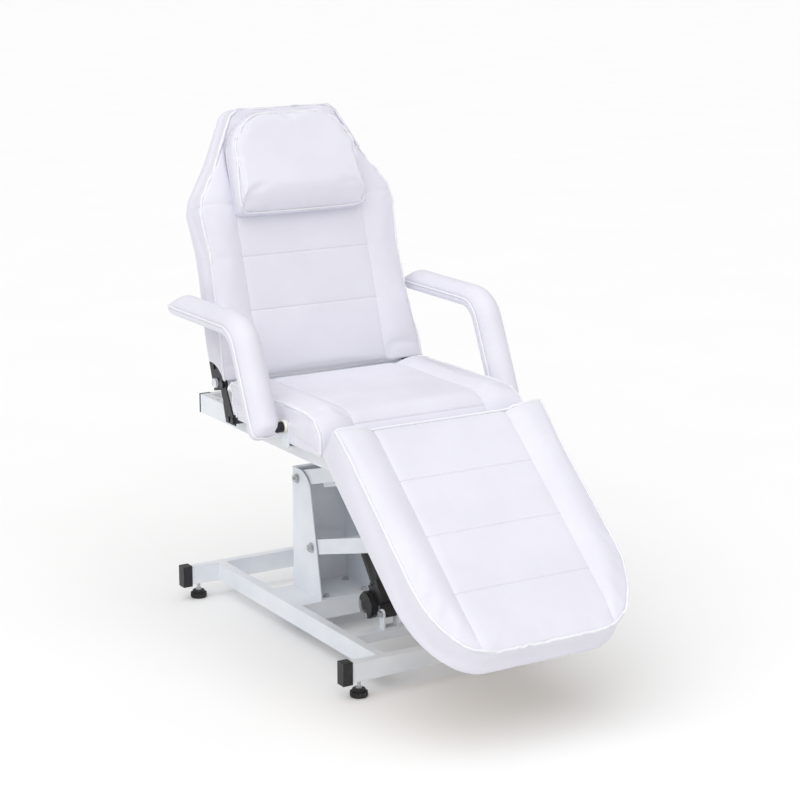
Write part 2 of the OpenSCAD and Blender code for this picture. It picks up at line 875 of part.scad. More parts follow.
placed() mirror([1, 0, 0]) armrest_core();  // armrest_core_left
placed() armrest_core();  // armrest_core_right
placed() mirror([1, 0, 0]) armrest_boss();  // armrest_boss_left
placed() armrest_boss();  // armrest_boss_right
placed() mirror([1, 0, 0]) armrest_bolt();  // armrest_bolt_left
placed() armrest_bolt();  // armrest_bolt_right
placed() board_screws();
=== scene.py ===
# The looks of the facial treatment bed: studio, finishes and upholstery, built round the CAD frame.

import json
import math
import bpy
import bmesh
import numpy as np
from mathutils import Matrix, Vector
from mathutils.bvhtree import BVHTree


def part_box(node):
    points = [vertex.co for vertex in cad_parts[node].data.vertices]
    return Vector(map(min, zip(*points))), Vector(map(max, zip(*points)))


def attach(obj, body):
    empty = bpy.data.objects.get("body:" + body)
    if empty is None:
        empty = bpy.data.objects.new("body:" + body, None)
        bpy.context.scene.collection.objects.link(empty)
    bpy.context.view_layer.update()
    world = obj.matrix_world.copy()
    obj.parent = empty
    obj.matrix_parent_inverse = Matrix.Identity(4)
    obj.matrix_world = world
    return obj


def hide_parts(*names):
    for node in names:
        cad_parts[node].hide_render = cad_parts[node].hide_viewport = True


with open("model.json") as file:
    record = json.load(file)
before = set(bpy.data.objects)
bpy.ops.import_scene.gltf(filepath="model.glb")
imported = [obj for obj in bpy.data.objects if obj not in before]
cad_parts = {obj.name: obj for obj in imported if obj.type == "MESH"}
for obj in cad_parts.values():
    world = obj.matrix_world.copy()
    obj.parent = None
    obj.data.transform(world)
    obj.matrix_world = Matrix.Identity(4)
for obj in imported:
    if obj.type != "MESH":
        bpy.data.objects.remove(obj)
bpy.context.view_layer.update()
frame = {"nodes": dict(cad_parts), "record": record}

MID = 0.243  # how far the bed's middle stands behind the seat's own zero

# ------------------------------------------------------------------ camera and light

def aim(obj, at, direction):
    obj.location = at
    obj.rotation_euler = Vector(direction).to_track_quat("-Z", "Y").to_euler()


def make_camera():
    data = bpy.data.cameras.new("camera")
    data.sensor_width = 36.0
    data.lens = 98.2
    data.clip_end = 60.0
    obj = bpy.data.objects.new("camera", data)
    bpy.context.scene.collection.objects.link(obj)
    az, el = math.radians(-31.335), math.radians(13.613)
    forward = (-math.sin(az) * math.cos(el), math.cos(az) * math.cos(el), -math.sin(el))
    aim(obj, (-2.7636, -4.8082 + MID, 1.9713), forward)
    bpy.context.scene.camera = obj


def softbox(name, at, target, size, power):
    data = bpy.data.lights.new(name, "AREA")
    data.shape = "RECTANGLE"
    data.size, data.size_y = size
    data.energy = power
    obj = bpy.data.objects.new(name, data)
    bpy.context.scene.collection.objects.link(obj)
    aim(obj, at, Vector(target) - Vector(at))


def soft_sun(source, strength):
    """A very wide sun: even light over the whole floor, with soft shadows."""
    data = bpy.data.lights.new("overhead", "SUN")
    data.energy = strength
    data.angle = math.radians(85.0)
    obj = bpy.data.objects.new("overhead", data)
    bpy.context.scene.collection.objects.link(obj)
    aim(obj, source, -Vector(source))


def make_studio():
    world = bpy.data.worlds.new("studio")
    bpy.context.scene.world = world
    world.use_nodes = True
    background = world.node_tree.nodes["Background"]
    background.inputs["Color"].default_value = (1.0, 1.0, 1.0, 1.0)
    background.inputs["Strength"].default_value = 0.58
    softbox("key", (-2.6, -2.6, 2.6), (0, 0, 0.6), (1.6, 1.6), 7)
    soft_sun((-0.42, -0.42, 1.05), 1.72)
    bpy.context.scene.view_settings.view_transform = "Standard"


make_camera()
make_studio()

# ------------------------------------------------------------------ materials


def new_material(name, colour, roughness, metallic=0.0, specular=0.5):
    mat = bpy.data.materials.new(name)
    mat.use_nodes = True
    shader = mat.node_tree.nodes["Principled BSDF"]
    shader.inputs["Base Color"].default_value = (*colour, 1.0)
    shader.inputs["Roughness"].default_value = roughness
    shader.inputs["Metallic"].default_value = metallic
    shader.inputs["Specular IOR Level"].default_value = specular
    return mat, mat.node_tree, shader


def add(tree, kind, **inputs):
    node = tree.nodes.new(kind)
    for key, value in inputs.items():
        node.inputs[key.replace("_", " ")].default_value = value
    return node


def noise_at(tree, scale, detail=3.0, stretch=(1, 1, 1)):
    where = tree.nodes.new("ShaderNodeTexCoord")
    shift = tree.nodes.new("ShaderNodeMapping")
    shift.inputs["Scale"].default_value = stretch
    tree.links.new(where.outputs["Object"], shift.inputs["Vector"])
    node = add(tree, "ShaderNodeTexNoise", Scale=scale, Detail=detail)
    tree.links.new(shift.outputs["Vector"], node.inputs["Vector"])
    return node.outputs["Fac"]


def cells_at(tree, scale):
    where = tree.nodes.new("ShaderNodeTexCoord")
    node = add(tree, "ShaderNodeTexVoronoi", Scale=scale)
    node.feature = "DISTANCE_TO_EDGE"
    tree.links.new(where.outputs["Object"], node.inputs["Vector"])
    return node.outputs["Distance"]


def ramp(tree, value, low, high, at=(0.35, 0.65)):
    node = tree.nodes.new("ShaderNodeValToRGB")
    node.color_ramp.elements[0].position = at[0]
    node.color_ramp.elements[1].position = at[1]
    node.color_ramp.elements[0].color = (*low, 1.0)
    node.color_ramp.elements[1].color = (*high, 1.0)
    tree.links.new(value, node.inputs["Fac"])
    return node.outputs["Color"]


def bumps(tree, shader, layers, edge=0.0):
    """Chains (height, strength, distance) layers into the shader's normal, over a rounded edge."""
    before = None
    if edge:
        rounded = add(tree, "ShaderNodeBevel", Radius=edge)
        rounded.samples = 4
        before = rounded.outputs["Normal"]
    for height, strength, distance in layers:
        node = add(tree, "ShaderNodeBump", Strength=strength, Distance=distance)
        tree.links.new(height, node.inputs["Height"])
        if before is not None:
            tree.links.new(before, node.inputs["Normal"])
        before = node.outputs["Normal"]
    if before is not None:
        tree.links.new(before, shader.inputs["Normal"])


def vary_roughness(tree, shader, value, low, high):
    node = add(tree, "ShaderNodeMapRange", To_Min=low, To_Max=high)
    tree.links.new(value, node.inputs["Value"])
    tree.links.new(node.outputs["Result"], shader.inputs["Roughness"])


def leatherette(name, colour, darker):
    mat, tree, shader = new_material(name, colour, 0.42, specular=0.42)
    tree.links.new(ramp(tree, noise_at(tree, 7.0), darker, colour), shader.inputs["Base Color"])
    vary_roughness(tree, shader, noise_at(tree, 34.0), 0.36, 0.5)
    bumps(tree, shader, [
        (noise_at(tree, 11.0, 2.0), 0.25, 0.004),
        (noise_at(tree, 160.0, 3.0), 0.12, 0.0008),
        (cells_at(tree, 620.0), 0.22, 0.0004),
    ])
    return mat


def powder_coat():
    mat, tree, shader = new_material("powder_coat", (0.80, 0.84, 0.89), 0.36)
    tint = ramp(tree, noise_at(tree, 9.0), (0.76, 0.80, 0.86), (0.83, 0.865, 0.91))
    tree.links.new(tint, shader.inputs["Base Color"])
    vary_roughness(tree, shader, noise_at(tree, 60.0), 0.3, 0.44)
    bumps(tree, shader, [(noise_at(tree, 520.0, 2.0), 0.14, 0.0006)], edge=0.0016)
    return mat


def plastic(name, colour, roughness, grain, edge=0.001):
    mat, tree, shader = new_material(name, colour, roughness, specular=0.45)
    lighter = tuple(min(1.0, c * 1.35 + 0.004) for c in colour)
    tree.links.new(ramp(tree, noise_at(tree, 40.0), colour, lighter), shader.inputs["Base Color"])
    vary_roughness(tree, shader, noise_at(tree, 90.0), roughness - 0.07, roughness + 0.1)
    bumps(tree, shader, [(noise_at(tree, grain, 3.0), 0.35, 0.0004)], edge=edge)
    return mat


def metal(name, colour, roughness, brushed=(1, 1, 1), edge=0.0006):
    mat, tree, shader = new_material(name, colour, roughness, metallic=1.0)
    darker = tuple(c * 0.78 for c in colour)
    tree.links.new(ramp(tree, noise_at(tree, 55.0), darker, colour), shader.inputs["Base Color"])
    vary_roughness(tree, shader, noise_at(tree, 220.0, 4.0, brushed), roughness - 0.06, roughness + 0.12)
    bumps(tree, shader, [(noise_at(tree, 700.0, 3.0, brushed), 0.12, 0.0003)], edge=edge)
    return mat


def plywood():
    mat, tree, shader = new_material("plywood", (0.60, 0.43, 0.25), 0.62)
    grain = noise_at(tree, 26.0, 6.0, (14, 1, 1))
    tree.links.new(ramp(tree, grain, (0.40, 0.26, 0.14), (0.66, 0.49, 0.30)), shader.inputs["Base Color"])
    bumps(tree, shader, [(grain, 0.3, 0.0006)], edge=0.0008)
    return mat


VINYL = leatherette("vinyl", (0.775, 0.768, 0.845), (0.745, 0.738, 0.815))
# The piping is the same vinyl painted lighter and whiter. This is a painted highlight standing in for the light
# its round bead catches.
PIPING_PAINTED_HIGHLIGHT = leatherette("vinyl_piping_painted_highlight", (0.86, 0.86, 0.90), (0.82, 0.82, 0.86))
THREAD = plastic("thread", (0.66, 0.66, 0.72), 0.6, 900.0, edge=0.0)
FINISHES = {
    "white_paint": powder_coat(),
    "vinyl": VINYL,
    "black_plastic": plastic("black_plastic", (0.012, 0.012, 0.014), 0.42, 900.0),
    "rubber_black": plastic("rubber_black", (0.014, 0.014, 0.014), 0.62, 500.0),
    "zinc": metal("zinc", (0.62, 0.63, 0.65), 0.32),
    "gunmetal": metal("gunmetal", (0.055, 0.055, 0.062), 0.26, (1, 12, 1)),
    "chrome": metal("chrome", (0.75, 0.75, 0.77), 0.14, (1, 1, 8)),
    "birch": plywood(),
    "cream": plastic("cream", (0.74, 0.71, 0.63), 0.3, 300.0, edge=0.0014),
    "grey_band": plastic("grey_band", (0.27, 0.27, 0.30), 0.5, 500.0),
}
for entry in frame["record"]["subparts"]:
    node = frame["nodes"][entry["node"]]
    node.data.materials.clear()
    node.data.materials.append(FINISHES[entry["material_slot"]])

# The hinge hardware is nearly black and the tube plugs are clear.
for name in ("hinge_spacers", "back_hinge_pins"):
    frame["nodes"][name].data.materials[0] = metal(name + "_black", (0.10, 0.10, 0.11), 0.3)
frame["nodes"]["back_tube_plugs"].data.materials[0] = plastic("clear_plug", (0.70, 0.71, 0.75), 0.22, 200.0)

# ------------------------------------------------------------------ local frames of the upholstery
# Each has x across, s along the section and n out of its padded face.


class Local:
    def __init__(self, origin, along, out):
        self.origin = np.array(origin, float)
        self.axes = np.array([(1.0, 0.0, 0.0), along, out])

    def world(self, points):
        return self.origin + np.asarray(points, float) @ self.axes

    def local(self, points):
        return (np.asarray(points, float) - self.origin) @ self.axes.T


def sin_cos(degrees):
    return math.sin(math.radians(degrees)), math.cos(math.radians(degrees))


lean_s, lean_c = sin_cos(18.0)
drop_s, drop_c = sin_cos(40.8)
SEAT = Local((0, MID, 0.695), (0, -1, 0), (0, 0, 1))
BACK = Local((0, 0.1136 + MID, 0.694), (0, lean_s, lean_c), (0, -lean_c, lean_s))
PILLOW = Local((-0.009, 0.1136 + MID, 0.694), (0, lean_s, lean_c), (0, -lean_c, lean_s))
LEG = Local((0, -0.4546 + MID, 0.6794), (0, -drop_c, -drop_s), (0, -drop_s, drop_c))
HALF_W = 0.300  # half the width of the seat, back and leg sections
SEAM_X = 0.189  # the long seams, where the side bolsters begin
SEAT_DEPTH, BACK_DEPTH, LEG_DEPTH = 0.089, 0.068, 0.085
# Grid columns over a side bolster, as shares of its width.
BOLSTER_STEPS = (0.02, 0.055, 0.12, 0.2, 0.29, 0.38, 0.47, 0.56, 0.65, 0.74, 0.82, 0.89, 0.94, 0.975, 1.0)


def half_width(points, s):
    """Half the width of an outline given as (x, s) points, at s."""
    xs, ss = np.array([p[0] for p in points]), np.array([p[1] for p in points])
    return np.interp(s, ss, xs)


# Outlines of the right half, as (x, s) points.
LEG_HALF = [(HALF_W, -0.005)] + [
    (0.150 + 0.150 * math.cos(t), 0.433 + 0.220 * math.sin(t))
    for t in np.linspace(0, math.pi / 2, 19)]
BACK_HALF = [
    (HALF_W, -0.005), (HALF_W, 0.110), (0.289, 0.320), (HALF_W, 0.445),
    (0.288, 0.482), (0.228, 0.570), (0.200, 0.622), (0.176, 0.668),
] + [
    (0.124 + 0.046 * math.cos(t), 0.669 + 0.046 * math.sin(t))
    for t in np.linspace(math.radians(10), math.pi / 2, 8)]

# ------------------------------------------------------------------ mesh helpers


def link(name, mesh, material):
    obj = bpy.data.objects.new(name, mesh)
    bpy.context.scene.collection.objects.link(obj)
    mesh.materials.clear()
    mesh.materials.append(material)
    return obj


def coords(mesh):
    flat = np.empty(len(mesh.vertices) * 3)
    mesh.vertices.foreach_get("co", flat)
    return flat.reshape(-1, 3)


def normals(mesh):
    flat = np.empty(len(mesh.vertices) * 3)
    mesh.vertex_normals.foreach_get("vector", flat)
    return flat.reshape(-1, 3)


def put(mesh, points):
    mesh.vertices.foreach_set("co", np.asarray(points, float).ravel())
    mesh.update()


def smooth_shade(mesh):
    mesh.polygons.foreach_set("use_smooth", [True] * len(mesh.polygons))


def baked(obj):
    """Replaces an object's mesh by what its modifiers make of it, and removes them."""
    graph = bpy.context.evaluated_depsgraph_get()
    graph.update()
    mesh = bpy.data.meshes.new_from_object(obj.evaluated_get(graph))
    obj.modifiers.clear()
    obj.data = mesh
    return mesh


def remesh(obj, voxel):
    mod = obj.modifiers.new("remesh", "REMESH")
    mod.mode = "VOXEL"
    mod.voxel_size = voxel
    baked(obj)


def relax(obj, times, factor=0.5):
    mod = obj.modifiers.new("relax", "SMOOTH")
    mod.iterations = times
    mod.factor = factor
    baked(obj)


def subdivide(obj):
    mod = obj.modifiers.new("fine", "SUBSURF")
    mod.levels = 1
    mod.render_levels = 1
    baked(obj)


CLOTH_FRAMES = 20


def inflate(obj, held, cap, shrink=0.003, pressure=4.0):
    """Swells a padded shell with cloth pressure. held marks the points that its board keeps in place."""
    mesh = obj.data
    start = coords(mesh) - normals(mesh) * shrink * (1.0 - held)[:, None]
    put(mesh, start)
    group = obj.vertex_groups.new(name="held")
    for index in np.nonzero(held > 0.5)[0]:
        group.add([int(index)], 1.0, "REPLACE")
    cloth = obj.modifiers.new("cloth", "CLOTH")
    cloth.settings.quality = 4
    cloth.settings.mass = 0.4
    cloth.settings.tension_stiffness = 20
    cloth.settings.compression_stiffness = 20
    cloth.settings.shear_stiffness = 10
    cloth.settings.bending_stiffness = 1.5
    cloth.settings.use_pressure = True
    cloth.settings.uniform_pressure_force = pressure
    cloth.settings.effector_weights.gravity = 0.0
    cloth.settings.vertex_group_mass = "held"
    cloth.collision_settings.use_collision = False
    cloth.point_cache.frame_start = 1
    cloth.point_cache.frame_end = CLOTH_FRAMES
    scene = bpy.context.scene
    for frame_number in range(1, CLOTH_FRAMES + 1):
        scene.frame_set(frame_number)
    graph = bpy.context.evaluated_depsgraph_get()
    moved = coords(obj.evaluated_get(graph).data).copy()
    obj.modifiers.clear()
    obj.vertex_groups.clear()
    scene.frame_set(1)
    step = moved - start
    size = np.linalg.norm(step, axis=1)
    size[size < 1e-9] = 1e-9
    limit = shrink + cap * np.tanh(np.maximum(size - shrink, 0.0) / cap)
    put(obj.data, start + step * (np.minimum(size, limit) / size)[:, None])


def near_field(points, path):
    """Distance of every point from a path's samples, and how far along the path the nearest one lies."""
    travelled = np.concatenate([[0], np.cumsum(np.linalg.norm(np.diff(path, axis=0), axis=1))])
    away, along = np.empty(len(points)), np.empty(len(points))
    for start in range(0, len(points), 4000):
        part = points[start:start + 4000]
        square = (part ** 2).sum(1)[:, None] + (path ** 2).sum(1)[None, :] - 2 * part @ path.T
        nearest = square.argmin(axis=1)
        away[start:start + 4000] = np.sqrt(np.maximum(square[np.arange(len(part)), nearest], 0))
        along[start:start + 4000] = travelled[nearest]
    return away, along


def resample(points, step, closed=False):
    points = np.asarray(points, float)
    if closed:
        points = np.vstack([points, points[:1]])
    length = np.concatenate([[0], np.cumsum(np.linalg.norm(np.diff(points, axis=0), axis=1))])
    count = max(2, int(round(length[-1] / step)) + 1)
    at = np.linspace(0, length[-1], count)
    out = np.stack([np.interp(at, length, points[:, k]) for k in range(3)], axis=1)
    return out[:-1] if closed else out


def eased(points, times, closed=False):
    points = np.array(points, float)
    for _ in range(times):
        before, after = np.roll(points, 1, axis=0), np.roll(points, -1, axis=0)
        middle = 0.5 * points + 0.25 * (before + after)
        if not closed:
            middle[0], middle[-1] = points[0], points[-1]
        points = middle
    return points


def snapped(obj, points, lift=0.0):
    """Moves points onto an object's surface, then out along its normal by lift."""
    mesh = obj.data
    tree = BVHTree.FromPolygons([v.co for v in mesh.vertices], [p.vertices for p in mesh.polygons])
    out = []
    for point in points:
        hit, normal, _, _ = tree.find_nearest(Vector(point))
        out.append(hit + normal * lift)
    return np.array(out)


def carve(obj, path, depth, width, pucker=0.0):
    """Presses a soft valley into the surface along a path."""
    mesh = obj.data
    points, out = coords(mesh), normals(mesh)
    low, high = path.min(axis=0) - 4 * width, path.max(axis=0) + 4 * width
    close = np.nonzero(np.all((points > low) & (points < high), axis=1))[0]
    if not len(close):
        return
    away, along = near_field(points[close], path)
    press = depth * np.exp(-(away / width) ** 2)
    if pucker:
        wave = np.sin(along * 2 * math.pi / 0.017 + 1.7 * np.sin(along * 23.0))
        wave = wave * np.sin(along * 31.0 + 0.6)
        press = press + pucker * wave * np.exp(-away / 0.011) * (1 - np.exp(-(away / 0.004) ** 2))
    points[close] -= out[close] * press[:, None]
    put(mesh, points)


def tube(name, path, radius, material, closed=False, sides=10):
    path = np.asarray(path, float)
    ahead = np.roll(path, -1, axis=0) - np.roll(path, 1, axis=0)
    if not closed:
        ahead[0], ahead[-1] = path[1] - path[0], path[-1] - path[-2]
    ahead /= np.linalg.norm(ahead, axis=1)[:, None]
    side = np.cross(ahead[0], (0.0, 0.0, 1.0) if abs(ahead[0][2]) < 0.9 else (1.0, 0.0, 0.0))
    rings = []
    for point, direction in zip(path, ahead):
        side = side - direction * np.dot(side, direction)
        side /= np.linalg.norm(side)
        up = np.cross(direction, side)
        turns = np.linspace(0, 2 * math.pi, sides, endpoint=False)
        rings.append([point + radius * (side * math.cos(t) + up * math.sin(t)) for t in turns])
    points = [tuple(p) for ring in rings for p in ring]
    faces = []
    count = len(rings)
    for i in range(count if closed else count - 1):
        for j in range(sides):
            a, b = i * sides + j, i * sides + (j + 1) % sides
            c, d = ((i + 1) % count) * sides + (j + 1) % sides, ((i + 1) % count) * sides + j
            faces.append((a, b, c, d))
    if not closed:
        faces.append(tuple(reversed(range(sides))))
        faces.append(tuple((count - 1) * sides + j for j in range(sides)))
    mesh = bpy.data.meshes.new(name)
    mesh.from_pydata(points, [], faces)
    mesh.update()
    smooth_shade(mesh)
    return link(name, mesh, material)


def joined(name, objects):
    """One object out of several of the same material."""
    box = bmesh.new()
    for obj in objects:
        box.from_mesh(obj.data)
    mesh = bpy.data.meshes.new(name)
    box.to_mesh(mesh)
    box.free()
    material = objects[0].data.materials[0]
    for obj in objects:
        bpy.data.objects.remove(obj)
    smooth_shade(mesh)
    return link(name, mesh, material)


def stitches(name, obj, path, length=0.0042, gap=0.0022, radius=0.00045):
    """A row of sewn stitches lying in a seam."""
    step = 0.0008
    fine = resample(snapped(obj, path, 0.0004), step)
    run, skip = int(length / step), int(gap / step)
    rows = []
    at = 0
    while at + run < len(fine):
        piece = fine[at:at + run + 1:2]
        if len(piece) > 1:
            rows.append(tube(name, piece, radius, THREAD, sides=5))
        at += run + skip
    return joined(name, rows)


# ------------------------------------------------------------------ padded sections


def lines_about(positions, reach=(0.0, 0.0022, 0.006)):
    """Grid lines on and beside each sewn line, so that a narrow groove stays crisp."""
    out = []
    for at in positions:
        out += [at + sign * step for step in reach for sign in ((1, -1) if step else (1,))]
    return out


def spaced(low, high, step, kept=(), clear=0.0042):
    """Evenly spaced values from low to high, with the kept ones in place of those too near them."""
    count = int(round((high - low) / step))
    plain = [low + (high - low) * k / count for k in range(count + 1)]
    kept = [k for k in kept if low < k < high]
    middle = [v for v in plain[1:-1] if all(abs(v - k) > clear for k in kept)]
    return np.array(sorted([low, high] + middle + kept))


def panel_columns():
    """Grid columns between the long seams, closer together beside them."""
    edge = [-SEAM_X + d for d in (0.0022, 0.006)] + [SEAM_X - d for d in (0.0022, 0.006)]
    return spaced(-SEAM_X, SEAM_X, 0.009, edge)


def grid_pad(name, place, width_at, rows, height, depth, bulge=0.002):
    """A closed padded block on a grid: face at n = height(x, s), straight walls, flat underside at n = -depth."""
    inner = panel_columns()
    front, points = [], []
    for s in rows:
        wide = float(width_at(s))
        seam = min(SEAM_X, wide * 0.9)
        xs = list(inner * seam / SEAM_X)
        right = [seam + (wide - seam) * u for u in BOLSTER_STEPS]
        xs = [-x for x in reversed(right)] + xs + right
        line = []
        for x in xs:
            line.append(len(points))
            points.append((x, s, float(height(abs(x), s, wide))))
        front.append(line)
    back = []
    for line in front:
        row = []
        for index in line:
            x, s, _ = points[index]
            row.append(len(points))
            points.append((x, s, -depth))
        back.append(row)
    across, down = len(front[0]), len(front)
    rim = [(0, j) for j in range(across)] + [(i, across - 1) for i in range(1, down)]
    rim += [(down - 1, j) for j in range(across - 2, -1, -1)] + [(i, 0) for i in range(down - 2, 0, -1)]
    middle = np.array([points[front[i][j]] for i, j in rim])
    centre = np.array([0.0, (rows[0] + rows[-1]) / 2])
    shares = [0.045, 0.11, 0.2, 0.32, 0.45, 0.58, 0.71, 0.83, 0.92, 0.97]
    rings = [[front[i][j] for i, j in rim]]
    for share in shares:
        ring = []
        for x, s, n in middle:
            swell = bulge * math.sin(share * math.pi)
            direction = np.array([x, (s - centre[1]) * 0.6])
            direction = direction / max(np.linalg.norm(direction), 1e-6)
            ring.append(len(points))
            points.append((x + direction[0] * swell, s + direction[1] * swell, n + (-depth - n) * share))
        rings.append(ring)
    rings.append([back[i][j] for i, j in rim])
    faces = []
    for i in range(down - 1):
        for j in range(across - 1):
            faces.append((front[i][j], front[i][j + 1], front[i + 1][j + 1], front[i + 1][j]))
            faces.append((back[i][j], back[i + 1][j], back[i + 1][j + 1], back[i][j + 1]))
    for one, two in zip(rings, rings[1:]):
        for k in range(len(one)):
            m = (k + 1) % len(one)
            faces.append((one[k], two[k], two[m], one[m]))
    mesh = bpy.data.meshes.new(name)
    mesh.from_pydata([tuple(p) for p in place.world(points)], [], faces)
    mesh.update()
    outward(mesh)
    return link(name, mesh, VINYL)


def outward(mesh):
    box = bmesh.new()
    box.from_mesh(mesh)
    bmesh.ops.recalc_face_normals(box, faces=box.faces)
    box.to_mesh(mesh)
    box.free()


def bolster_share(x, wide):
    """How far a side bolster stands up, from 0 at the long seam to 1 at its crown."""
    u = min(max((x - SEAM_X) / max(wide - SEAM_X, 0.02), 0.0), 1.0)
    rise = math.sin(min(u / 0.5, 1.0) * math.pi / 2) ** 1.15
    return rise * (1.0 - 0.34 * max(0.0, (u - 0.6) / 0.4) ** 2)


def finish_pad(obj, name, body, node, piping, seams, cross, welt=0.0034):
    """Adds seams, stitches and piping to a padded section, and rides it all on its body."""
    parts = []
    pipes = []
    for path, closed in piping:
        path = resample(path, 0.006, closed)
        path = eased(snapped(obj, path), 2, closed)
        carve(obj, path, 0.0040, 0.0050, 0.0006)
        pipes.append((path, closed))
    for path in seams:
        line = snapped(obj, resample(path, 0.0015))
        carve(obj, line, 0.0016, 0.012, 0.0005)
        carve(obj, line, 0.0034, 0.0017)
    for path in cross:
        line = snapped(obj, resample(path, 0.0015))
        carve(obj, line, 0.0008, 0.012, 0.0004)
        carve(obj, line, 0.0028, 0.0015)
    smooth_shade(obj.data)
    for index, (path, closed) in enumerate(pipes):
        at = eased(resample(snapped(obj, path, 0.0021), 0.004, closed), 3, closed)
        # The piping tubes wear the lighter vinyl, a painted highlight on the bead.
        parts.append(tube(f"{name}_piping_{index}", at, welt, PIPING_PAINTED_HIGHLIGHT, closed))
    beside = [np.asarray(path) + np.sign(path[0][0]) * np.array([0.0055, 0, 0]) for path in seams]
    for index, path in enumerate(seams + cross + beside):
        parts.append(stitches(f"{name}_stitches_{index}", obj, path))
    for part in parts:
        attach(part, body)
    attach(obj, body)
    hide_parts(node)


def two_sides(path):
    """A path in local (x, s, n) and its mirror image."""
    path = np.asarray(path, float)
    return [path, path * np.array([-1.0, 1.0, 1.0])]


# The seat's section as (s, n), from its rear undercut over the top and down the front.
SEAT_PROFILE = [
    (-0.040, -0.089), (-0.063, -0.054), (-0.081, -0.020), (-0.0885, -0.008), (-0.083, 0.0), (-0.076, 0.0),
    (-0.060, 0.0), (0.280, 0.0), (0.318, -0.001), (0.345, -0.006), (0.364, -0.015), (0.378, -0.028),
    (0.388, -0.046), (0.394, -0.066), (0.396, -0.080), (0.396, -0.089)]
# How high the bolsters rise, as (s, height).
SEAT_RISE = [(-0.10, 0.007), (-0.02, 0.011), (0.175, 0.016), (0.312, 0.018), (0.36, 0.014), (0.40, 0.007)]


def seat_loop():
    """The seat's section, softened and evenly spaced."""
    path = np.array([(0.0, s, n) for s, n in SEAT_PROFILE])
    fine = resample(eased(resample(path, 0.004), 2), 0.0065)
    return [(p[1], p[2]) for p in fine]


def make_seat():
    top = seat_loop()
    count = len(top)
    tangent = np.gradient(np.array(top), axis=0)
    out = np.stack([-tangent[:, 1], tangent[:, 0]], axis=1)
    out /= np.linalg.norm(out, axis=1)[:, None]
    floor = [(s, -SEAT_DEPTH) for s in np.linspace(top[-1][0], top[0][0], 40)[1:-1]]
    rise = np.interp([p[0] for p in top], [r[0] for r in SEAT_RISE], [r[1] for r in SEAT_RISE])
    right = [SEAM_X + (HALF_W - SEAM_X) * u for u in BOLSTER_STEPS]
    xs = [-x for x in reversed(right)] + list(panel_columns()) + right
    points, slices = [], []
    for x in xs:
        share = bolster_share(abs(x), HALF_W)
        ring = []
        for k, (s, n) in enumerate(top):
            lift = rise[k] * share * min(1.0, max(0.0, (n + SEAT_DEPTH) / 0.03))
            ring.append(len(points))
            points.append((x, s + out[k][0] * lift, n + out[k][1] * lift))
        for s, n in floor:
            ring.append(len(points))
            points.append((x, s, n))
        slices.append(ring)
    faces = []
    for one, two in zip(slices, slices[1:]):
        for k in range(len(one)):
            m = (k + 1) % len(one)
            faces.append((one[k], two[k], two[m], one[m]))
    for ring, sign in ((slices[0], -1), (slices[-1], 1)):
        rim = np.array([points[i] for i in ring])
        centre = rim.mean(axis=0)
        before = ring
        for shrink, swell in ((0.97, 0.0006), (0.90, 0.0016), (0.75, 0.003), (0.5, 0.004), (0.25, 0.0045)):
            inside = []
            for point in rim:
                q = centre + (point - centre) * shrink
                inside.append(len(points))
                points.append((q[0] + sign * swell, q[1], q[2]))
            for k in range(len(ring)):
                m = (k + 1) % len(ring)
                faces.append((before[k], before[m], inside[m], inside[k]))
            before = inside
        faces.append(tuple(before))
    mesh = bpy.data.meshes.new("seat_pad")
    mesh.from_pydata([tuple(p) for p in SEAT.world(points)], [], faces)
    mesh.update()
    outward(mesh)
    obj = link("seat_pad", mesh, VINYL)
    held = (SEAT.local(coords(mesh))[:, 2] < -0.080).astype(float)
    inflate(obj, held, 0.004, shrink=0.002)
    subdivide(obj)
    side = [(0.300, -0.047, -0.085), (0.300, -0.089, -0.004), (0.300, -0.083, 0.006), (0.300, -0.055, 0.007),
            (0.300, 0.175, 0.011), (0.300, 0.300, 0.012), (0.300, 0.350, 0.006), (0.300, 0.380, -0.012),
            (0.300, 0.395, -0.040), (0.300, 0.397, -0.084)]
    seam = [(SEAM_X, -0.050, -0.080), (SEAM_X, -0.094, -0.008), (SEAM_X, -0.088, 0.0), (SEAM_X, 0.300, 0.0),
            (SEAM_X, 0.345, -0.006), (SEAM_X, 0.378, -0.024), (SEAM_X, 0.393, -0.050), (SEAM_X, 0.396, -0.084)]
    front = [(-SEAM_X, SEAT_FRONT[0], SEAT_FRONT[1]), (SEAM_X, SEAT_FRONT[0], SEAT_FRONT[1])]
    finish_pad(obj, "seat", "seat", "seat_cushion",
               [(SEAT.world(p), False) for p in two_sides(side)],
               [SEAT.world(p) for p in two_sides(seam)], [SEAT.world(front)])
    return obj


SEAT_FRONT = (0.372, -0.022)


